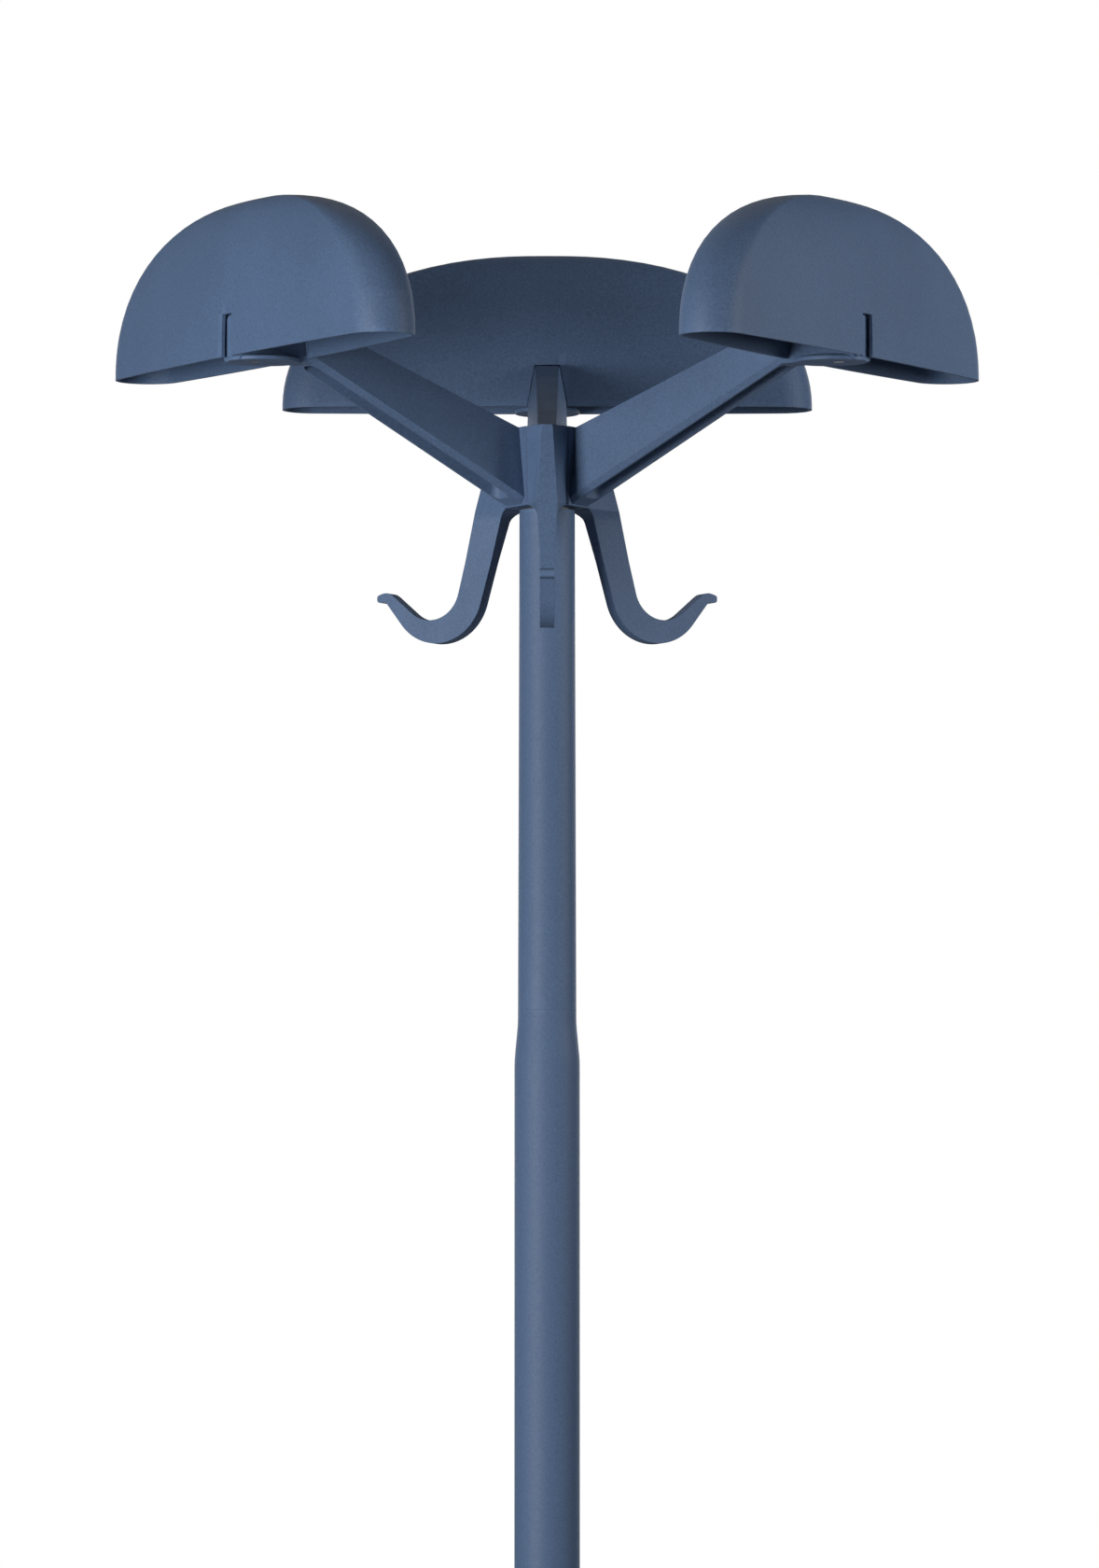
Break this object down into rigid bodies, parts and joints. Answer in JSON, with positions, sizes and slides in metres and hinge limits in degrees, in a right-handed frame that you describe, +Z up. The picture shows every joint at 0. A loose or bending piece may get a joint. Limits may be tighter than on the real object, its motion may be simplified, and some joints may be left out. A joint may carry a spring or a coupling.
{
  "type": "coat stand",
  "caption": "Free-standing coat stand with a weighted round foot, a two-stage tube column and a swivelling head carrying arms, J-hooks and half-moon hanger shells",
  "frame": {"origin": "on the floor, at the middle of the foot, under the column's axis", "axes": "+Z up along the column, +X to the right of a person facing the front hook, +Y away from that person"},
  "size_m": [0.6256, 0.5541, 1.7794],
  "materials": {
    "painted_tube": "satin slate-blue powder coat on steel",
    "moulding": "fine-grained slate-blue moulded plastic",
    "rubber": "matt black rubber",
    "cast_weight": "cast iron with black primer",
    "plated_steel": "zinc-plated steel",
    "bearing_plastic": "dark acetal"
  },
  "bodies": {
    "stand": {"foot_pad": "rubber", "base_weight": "cast_weight", "base_cover": "painted_tube", "base_collar": "painted_tube", "foot_plug": "plated_steel", "foot_washer_ring": "plated_steel", "foot_bolt": "plated_steel", "lower_tube": "painted_tube", "joint_sleeve": "plated_steel", "upper_tube": "painted_tube", "top_plug": "painted_tube", "thrust_washer_ring": "bearing_plastic", "spindle": "plated_steel", "spindle_washer": "plated_steel", "spindle_nut": "plated_steel"},
    "head": {"hub_core": "moulding", "hub_bush": "bearing_plastic", "hub_cap": "moulding", "cap_screws": "plated_steel", "arm_rear": "moulding", "arm_left": "moulding", "arm_right": "moulding", "shell_rear": "moulding", "shell_left": "moulding", "shell_right": "moulding", "hook_front": "moulding", "hook_left": "moulding", "hook_right": "moulding", "shell_screws": "plated_steel"}
  },
  "joints": [
    {"name": "head_swivel", "type": "hinge", "parent": "stand", "child": "head", "pos_m": [0, 0, 1.569], "axis": [0, 0, 1], "continuous": true}
  ]
}
